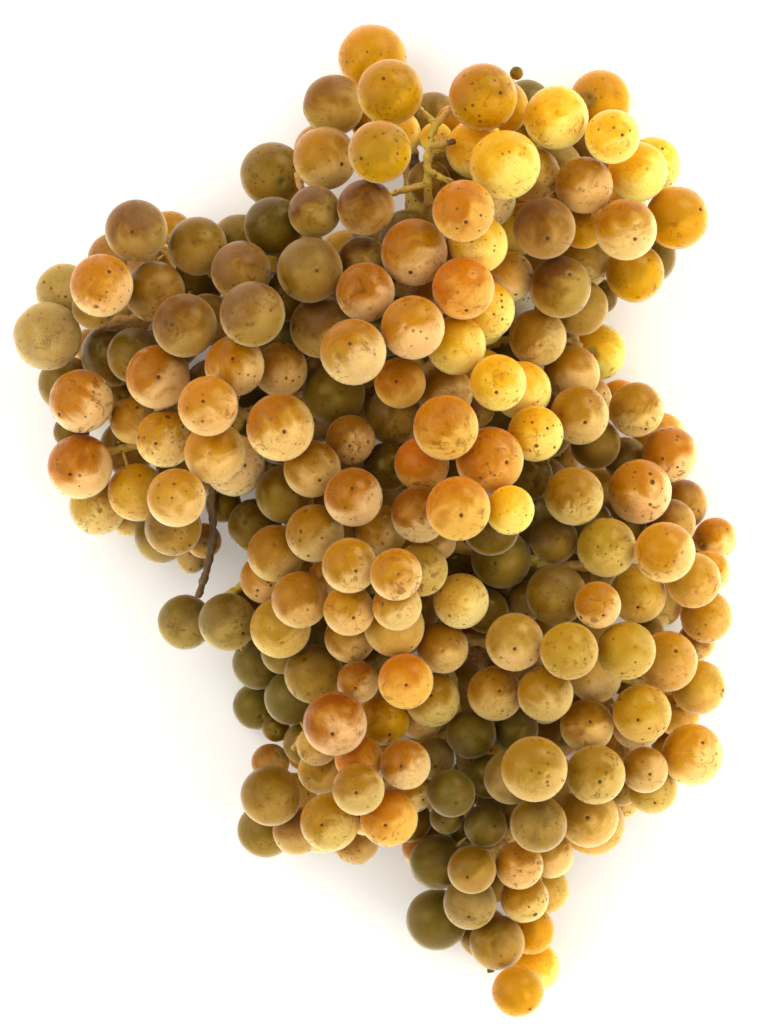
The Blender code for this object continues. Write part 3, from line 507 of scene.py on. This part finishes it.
# ---------------------------------------------------------------------------------------------------------
# The front, right of the middle.
# The berries that stand out most, in the best light: orange, lemon and ochre, and the palest nearly white,
# its whiteness painted sunlight.
front_berries = [
    (20.7, 55, 15.3, "orange"), (20.5, 43.1, 14.4, "lemon"), (26.2, 50, 14.6, "lemon"),
    (30, 56.3, 12.6, "cream"), (32, 52.5, 13, "white"), (37.2, 41.4, 14.3, "ochre"),
    (47.3, 37.5, 14, "ochre"), (54.2, 40.7, 14, "lemon"), (50.5, 29.5, 13, "ochre"),
    (49, 25, 14.6, "ochre"), (36.6, 28.2, 14.4, "lemon"), (35.3, 22.7, 13.6, "lemon"),
    (29.2, 32.6, 13.7, "lemon"), (29.2, 14.7, 16.4, "orange"), (17, 21.6, 15.9, "orange"),
    (16.8, 30.3, 13.6, "ochre"), (11, 12.9, 13.6, "orange"), (26.5, 37, 12, "lemon"),
    (28.5, 43.5, 10.6, "lemon"), (25, 27, 8, "brown"), (41.5, 20.5, 12, "dark"), (37, 10.5, 12, "dark"),
    (13, 53, 10, "rust"), (31.2, 3.3, 12, "lemon"),
]

# ---------------------------------------------------------------------------------------------------------
# The lower left column.
# Smaller berries that hang round a side branch: orange, ochre and rust on its right, mossy and in the
# shade on its left.
lower_left_berries = [
    (-16.1, -36.3, 14.6, "olive"), (-4.3, -39.3, 10.4, "rust"), (7.2, -38.6, 13.6, "orange"),
    (15.9, -42.4, 13.4, "ochre"), (-9.6, -49, 15.6, "rust"), (4.9, -47.8, 12.8, "topaz"),
    (11.8, -51, 12, "gold"), (-4.1, -57.4, 11.8, "orange"), (7.2, -58.9, 12.4, "rust"),
    (-14, -55.3, 10.2, "straw"), (-19, -55.6, 11, "moss"), (-18.5, -44.6, 13.6, "shade"),
    (-27, -36.7, 13, "shade"), (-21, -33.5, 11, "moss"), (-27.2, -47.9, 11.6, "shade"),
    (-25.2, -50.2, 7, "dark"), (-24.5, -58.5, 9.4, "mauve"), (-24.8, -67.4, 15, "olive"),
    (-13.6, -60.2, 11.4, "khaki"), (-4, -64.8, 12.8, "ochre"), (9.3, -64.4, 10, "amber"),
    (-11, -73, 14.4, "ochre"), (3.1, -71.8, 14.1, "orange"), (-26.8, -75.7, 13.8, "moss"),
    (-19, -75, 12, "mauve"), (-5.2, -77.4, 11.8, "mauve"), (-2.8, -73, 9, "amber"),
    (-14, -76.5, 9.6, "rust"), (9.5, -75, 11, "dark"),
]

# ---------------------------------------------------------------------------------------------------------
# The right side.
# Loose berries at the edge of the bunch, honey, gold and amber, with olive and mossy ones further in.
right_side_berries = [
    (62.6, 26, 13.6, "ochre"), (70.3, 15.6, 13.8, "rust"), (54, 18.8, 12.4, "moss"), (61, 15, 11, "moss"),
    (47.7, 5.4, 14.5, "ochre"), (63.8, 6.6, 15.8, "amber"), (74.8, 3.4, 12.6, "brown"),
    (71.6, -1.2, 12.2, "brown"), (69.2, -8, 15, "gold"), (82.7, -4.8, 10.6, "amber"),
    (76.6, -14.8, 13.8, "honey"), (81, -13.4, 10.4, "gold"), (80.1, -23.6, 13, "honey"),
    (78.5, -29, 9.6, "ochre"), (75.8, -41.2, 13.4, "honey"), (73.5, -47.2, 11.6, "honey"),
    (63.8, -18.1, 14, "honey"), (53.2, -20.6, 11.5, "amber"), (70.3, -20.8, 12.4, "straw"),
    (55.5, -6.8, 14.6, "khaki"), (43.3, -5, 12, "moss"), (42.6, -18.4, 15, "olive"),
    (30.5, -9.6, 14.8, "moss"), (37, -19.5, 10, "jade"), (27, -22, 11, "dark"),
]

# ---------------------------------------------------------------------------------------------------------
# The lower right.
# Large honey, ochre and khaki berries, over darker ones in the shade that lie deeper towards the axis.
lower_right_berries = [
    (33.4, -29.5, 14.4, "straw"), (46.3, -31.6, 14.2, "honey"), (60.2, -31.6, 14.4, "honey"),
    (70.5, -34.4, 15, "honey"), (29, -42.1, 13.6, "ochre"), (40.7, -41.8, 13.8, "ochre"),
    (39, -45.7, 12, "straw"), (53, -39.4, 12.8, "cream"), (51.2, -49.5, 13.2, "ochre"),
    (64, -46.8, 14.4, "honey"), (63.3, -49.9, 12.4, "cream"), (38, -59.8, 16.2, "khaki"),
    (52.9, -61.3, 14.6, "khaki"), (31.2, -62.4, 13.4, "jade"), (65, -60.5, 11.4, "ochre"),
    (67, -62.5, 12.6, "honey"), (76.2, -57.3, 15.2, "gold"), (21.5, -51.5, 12.4, "shade"),
    (32, -50.5, 11, "shade"), (15, -56.6, 10.4, "jade"), (26, -61.5, 11, "shade"),
    (18.3, -66, 11.8, "shade"), (17.2, -72, 8.4, "shade"), (24.5, -67.5, 10, "jade"),
    (27, -74.8, 10.6, "shade"), (39, -73, 14, "olive"), (37, -72.5, 13, "olive"), (51.4, -72, 15, "khaki"),
    (52.8, -74.1, 15.4, "honey"), (58.5, -66.8, 10, "olive"),
]

# ---------------------------------------------------------------------------------------------------------
# The tail.
# The narrow end of the bunch, round the end of the axis: olive berries and berries in the shade on the
# left, honey, ochre and topaz ones on the right.
tail_berries = [
    (15.3, -97.7, 15.3, "shade"), (14.8, -82.9, 13.6, "shade"), (23.6, -84, 12, "olive"),
    (23.1, -93.2, 13.2, "jade"), (34.7, -83.8, 12, "ochre"), (41.7, -80.3, 11.8, "straw"),
    (41.2, -91.1, 12, "honey"), (35.7, -91.6, 12, "ochre"), (27.8, -100.3, 13.8, "olive"),
    (26, -101, 12.8, "olive"), (37.2, -101.3, 12, "topaz"), (38.3, -104.4, 12.6, "lemon"),
    (34.1, -113.6, 12.8, "topaz"),
]

# ---------------------------------------------------------------------------------------------------------
# The sprigs: one piece for each cluster of neighbouring berries, in the places of the CAD berries.
# Each berry takes the tone listed for it above. The others fill the gaps, in darker tones that are painted
# shade, or lie on the table side, in mixed tones. Those that carry the weight are pressed a little flat.
listed = crown_berries + right_shoulder_berries + left_shoulder_berries + middle_berries + front_berries
listed += lower_left_berries + right_side_berries + lower_right_berries + tail_berries
DULL = {
    "brown": 0.4, "moss": 0.3, "shade": 0.3, "mauve": 0.6,
    "olive": 0.3, "pale": 0.6, "jade": 0.4, "khaki": 0.1,
}
# Hidden berries in the gaps take these darker tones as painted shade.
in_gaps_painted_shade = ("shade", "moss", "olive", "shade", "dark", "olive")
underneath = ("amber", "ochre", "honey", "olive", "rust", "khaki", "gold")
same_berry = 8
size_weight = 600
underneath_height = 0.012
front_height = 0.030
any_turn = 6.28
most_uneven = 0.010
least_width = 0.98
# The higher a berry stands, the more light falls on it, so its colours are mixed darker.
tone_heights = (0.022, 0.060)
tone_strengths = (1.10, 0.76)
warmth = (0, 0.002, 0.008)
scar_share = 0.55
stalk_spots = np.array([v.co[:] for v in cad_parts["stalk"].data.vertices])
chance = np.random.default_rng(5)


def tone_of(x, y, z, radius):
    """The tone of the listed berry with nearly this place and size, or a hidden berry's mixed tone."""
    misfits = []
    for listed_x, listed_y, diameter, _ in listed:
        away = math.hypot(listed_x - x * 1000, listed_y - y * 1000)
        misfits.append(away + size_weight * abs(diameter / 2 - radius * 1000))
    best = int(np.argmin(misfits))
    if misfits[best] < same_berry:
        return listed[best][3]
    pool = in_gaps_painted_shade if z > underneath_height else underneath
    return pool[int(chance.integers(len(pool)))]


def way_out(centre):
    """Which way a berry's tip points: away from the stalk, and upwards at the front."""
    inward = stalk_spots[np.argmin(np.linalg.norm(stalk_spots - centre, axis=1))] - centre
    inward = inward / max(np.linalg.norm(inward), 1e-6) + chance.normal(0, 0.25, 3)
    inward[2] -= 0.6 if centre[2] > front_height else -0.3
    return -Vector(inward).normalized()


def grape_mesh(centre, radius, way, tone_name):
    """A copy of the grape in its place, a little uneven, with its own colours and marks."""
    turn = way.to_track_quat("Z", "Y").to_matrix() @ Matrix.Rotation(chance.uniform(0, any_turn), 3, "Z")
    mesh = grape.data.copy()
    fuller_side = np.array(Vector(chance.normal(0, 1, 3)).normalized())
    swell = 1 - most_uneven * (1 + grape_ways @ fuller_side) / 2
    widths = (chance.uniform(least_width, 1.0), chance.uniform(least_width, 1.0), 1.0)
    local = grape_cage * swell[:, None] * widths
    world = local @ np.array(turn).T * radius + centre
    world[:, 2] = np.maximum(world[:, 2], 0.0)
    mesh.vertices.foreach_set("co", world.ravel())
    counts = len(mesh.vertices)
    strength = float(np.interp(centre[2], tone_heights, tone_strengths)) * chance.normal(1.0, 0.035, 3)
    for name, card in zip(("tone", "blush", "flesh"), TONES[tone_name]):
        mixed = np.clip(np.array(linear(*card)) * strength - warmth, 0.001, 1)
        colours = mesh.attributes.new(name, "FLOAT_COLOR", "POINT")
        colours.data.foreach_set("color", np.tile((*mixed, 1.0), counts))
    for name, value in (
        ("ripeness", chance.uniform(0.45, 1.0)),
        ("freckle", float(np.clip(chance.normal(0.65, 0.4), 0.1, 1.3))),
        ("dull", DULL.get(tone_name, 0.0)),
        ("scar", 1.0 if chance.random() < scar_share else 0.3),
    ):
        mesh.attributes.new(name, "FLOAT", "POINT").data.foreach_set("value", np.full(counts, value))
    mesh.attributes.new("local", "FLOAT_VECTOR", "POINT").data.foreach_set("vector", local.ravel())
    return mesh


def joined(copies, name):
    """Joins copies into one smooth piece."""
    bpy.ops.object.select_all(action="DESELECT")
    for copy in copies:
        copy.select_set(True)
    bpy.context.view_layer.objects.active = copies[0]
    bpy.ops.object.join()
    piece = bpy.context.object
    piece.name = name
    piece.data.name = name
    bpy.ops.object.shade_smooth()
    return piece


def dressed(piece, material):
    piece.data.materials.clear()
    piece.data.materials.append(material)


all_berries = []
for node in sorted(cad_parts):
    if not node.startswith("sprig_"):
        continue
    copies = []
    for x, y, z, radius in berries_in(node):
        centre = np.array((x, y, z))
        tone_name = tone_of(x, y, z, radius)
        way = way_out(centre)
        copies.append(placed("berry", grape_mesh(centre, radius, way, tone_name)))
        all_berries.append((x, y, z, radius, *way))
    sprig = joined(copies, node.replace("sprig_", "grapes_"))
    dressed(sprig, skin)
    rounded(sprig, 2)
    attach(sprig, "root")
    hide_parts(node)
bpy.data.objects.remove(grape, do_unlink=True)

# ---------------------------------------------------------------------------------------------------------
# The stalk: a main axis and its side branches, yellowish where it is fresh and corky brown where it has
# dried, with small dark pores. It is the CAD stalk with its edges grown round and its surface made warty.
bark_cell = 0.00042
wart_size = 0.0016
wart_height = 0.0010
wart_middle = 0.38
dry_above = 8
fresh_yellow = (0.60, 0.42, 0.045)
fresh_tan = (0.56, 0.30, 0.075)
streak_brown = (0.34, 0.16, 0.035)
pore_brown = (0.09, 0.035, 0.010)
dry_brown = (0.115, 0.062, 0.022)
bark = new_material("stalk_bark")
nodes = bark.node_tree.nodes
links = bark.node_tree.links
shader = nodes["Principled BSDF"]
set_sockets(shader, {
    "Subsurface Weight": 0.15,
    "Subsurface Radius": (1.0, 0.7, 0.25),
    "Subsurface Scale": 0.001,
    "Specular IOR Level": 0.35,
})
place = nodes.new("ShaderNodeTexCoord")
colour = blend_colour(level(grain(70, 2.0), 0.40, 0.60), fresh_yellow, fresh_tan)
colour = blend_colour(level(grain(500, 4.0, 0.65), 0.48, 0.66, 0.0, 0.55), colour, streak_brown)
pores = freckles(620, 0.10, 0.30, 0.5)
colour = painted(colour, pore_brown, pores, 0.8)
colour = blend_colour(level(attribute_of("dry"), 0.15, 0.75), colour, dry_brown)
links.new(colour, shader.inputs["Base Color"])
links.new(level(grain(400, 3.0), 0.3, 0.7, 0.45, 0.75), shader.inputs["Roughness"])
roughen(combine("ADD", grain(700, 4.0, 0.6), pores), 0.7, 0.00025)

bpy.ops.object.select_all(action="DESELECT")
stalk = placed("stalk_wood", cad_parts["stalk"].data.copy())
stalk.select_set(True)
bpy.context.view_layer.objects.active = stalk
bpy.ops.object.mode_set(mode="EDIT")
bpy.ops.mesh.select_all(action="SELECT")
bpy.ops.mesh.remove_doubles(threshold=1e-6)
bpy.ops.mesh.normals_make_consistent(inside=False)
bpy.ops.object.mode_set(mode="OBJECT")
grown = stalk.modifiers.new("grown", "REMESH")
grown.mode = "VOXEL"
grown.voxel_size = bark_cell
grown.use_smooth_shade = True
bpy.ops.object.modifier_apply(modifier="grown")
softened = stalk.modifiers.new("softened", "SMOOTH")
softened.factor = 0.5
softened.iterations = 3
bpy.ops.object.modifier_apply(modifier="softened")
warts = bpy.data.textures.new("warts", "CLOUDS")
warts.noise_scale = wart_size
warty = stalk.modifiers.new("warty", "DISPLACE")
warty.texture = warts
warty.texture_coords = "GLOBAL"
warty.strength = wart_height
warty.mid_level = wart_middle
bpy.ops.object.modifier_apply(modifier="warty")
# Dark and dry: the receptacles of lost berries by the crown, the dead branch at the left, and the end of
# the axis at the tail. Each row is a place and a reach in mm. Wood lower than dry_above stays fresh.
dry_ends = (
    (8.5, 99.5, 2.2), (22.5, 90.5, 2.4), (9.5, 87.5, 1.6), (9.5, 85.5, 1.6), (21, 81.5, 2.2), (20, 80, 2.0),
    (-43, -19, 4.5), (-40, -12, 5.0), (-38.5, -8.5, 5.0), (-38, -3, 5.0), (-38.5, 1, 5.0), (-40, 8, 6.0),
    (18.6, 90.8, 1.8), (-44, -21, 4.0),
    (28, -110.5, 4.0), (26, -107, 4.0),
)
bark_spots = np.array([v.co[:] for v in stalk.data.vertices]) * 1000
dryness = np.zeros(len(bark_spots))
for x, y, reach in dry_ends:
    away = np.hypot(bark_spots[:, 0] - x, bark_spots[:, 1] - y) / reach
    dryness = np.maximum(dryness, np.clip(1.4 - away, 0, 1) * (bark_spots[:, 2] > dry_above))
stalk.data.attributes.new("dry", "FLOAT", "POINT").data.foreach_set("value", dryness)
dressed(stalk, bark)
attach(stalk, "root")
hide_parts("stalk")

# ---------------------------------------------------------------------------------------------------------
# The pedicels: the short stems that hold the berries, each widening to a warty collar at its berry.
# They reach towards the stalk as far as there is room between the neighbouring berries. A berry has one
# only where wood is close, or where another berry covers it from above.
pedicel_radius = 0.00042
pedicel_length = 0.001
collar_slope = 0.0004
collar_length = 0.0005
collar_widening = 2.1
collar_narrowing = 0.8
sunk_to = 0.97
pedicel_steps = np.arange(0.0006, 0.0075, 0.0004)
pedicel_room = 0.0006
least_height = 0.001
shortest_pedicel = 0.0012
longest_share = 0.5
wood_near = 0.0030
bpy.ops.object.select_all(action="DESELECT")
bpy.ops.mesh.primitive_cylinder_add(
    vertices=8, radius=pedicel_radius, depth=pedicel_length, end_fill_type="NGON",
    location=(0, 0, pedicel_length / 2),
)
pedicel = bpy.context.object
bpy.ops.object.mode_set(mode="EDIT")
bpy.ops.mesh.select_mode(type="FACE")
cage = bmesh.from_edit_mesh(pedicel.data)
for face in cage.faces:
    face.select_set(face.normal.z < -0.9)
bmesh.update_edit_mesh(pedicel.data)
for lower, wider in ((collar_slope, collar_widening), (collar_length, collar_narrowing)):
    bpy.ops.mesh.extrude_region_move(TRANSFORM_OT_translate={"value": (0, 0, -lower)})
    bpy.ops.transform.resize(value=(wider, wider, 1.0), center_override=(0, 0, 0))
bpy.ops.object.mode_set(mode="OBJECT")
pedicel_shape = np.array([v.co[:] for v in pedicel.data.vertices])
grapes = np.array(all_berries)
stems = []
for k, (x, y, z, radius, *way) in enumerate(grapes):
    start = np.array((x, y, z)) - np.array(way) * radius * sunk_to
    reach = 0.0
    for step in pedicel_steps:
        tip = start - np.array(way) * step
        room = np.linalg.norm(grapes[:, :3] - tip, axis=1) - grapes[:, 3]
        if np.delete(room, k).min() < pedicel_room or tip[2] < least_height:
            break
        reach = step
    reach = min(reach, radius * longest_share)
    end = start - np.array(way) * reach
    beside = np.hypot(grapes[:, 0] - end[0], grapes[:, 1] - end[1])
    covered = ((beside < grapes[:, 3]) & (grapes[:, 2] > end[2])).any()
    at_wood = np.linalg.norm(stalk_spots - end, axis=1).min() < wood_near
    if reach < shortest_pedicel or not (covered or at_wood):
        continue
    mesh = pedicel.data.copy()
    turn = np.array((-Vector(way)).to_track_quat("Z", "Y").to_matrix())
    shape = pedicel_shape.copy()
    top = shape[:, 2] > pedicel_length / 2
    shape[top, 2] = reach
    shape[~top, 2] += collar_slope
    mesh.vertices.foreach_set("co", (shape @ turn.T + start).ravel())
    stems.append(placed("pedicel", mesh))
bpy.data.objects.remove(pedicel, do_unlink=True)
pedicels = joined(stems, "pedicels")
dressed(pedicels, bark)
rounded(pedicels, 1)
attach(pedicels, "root")
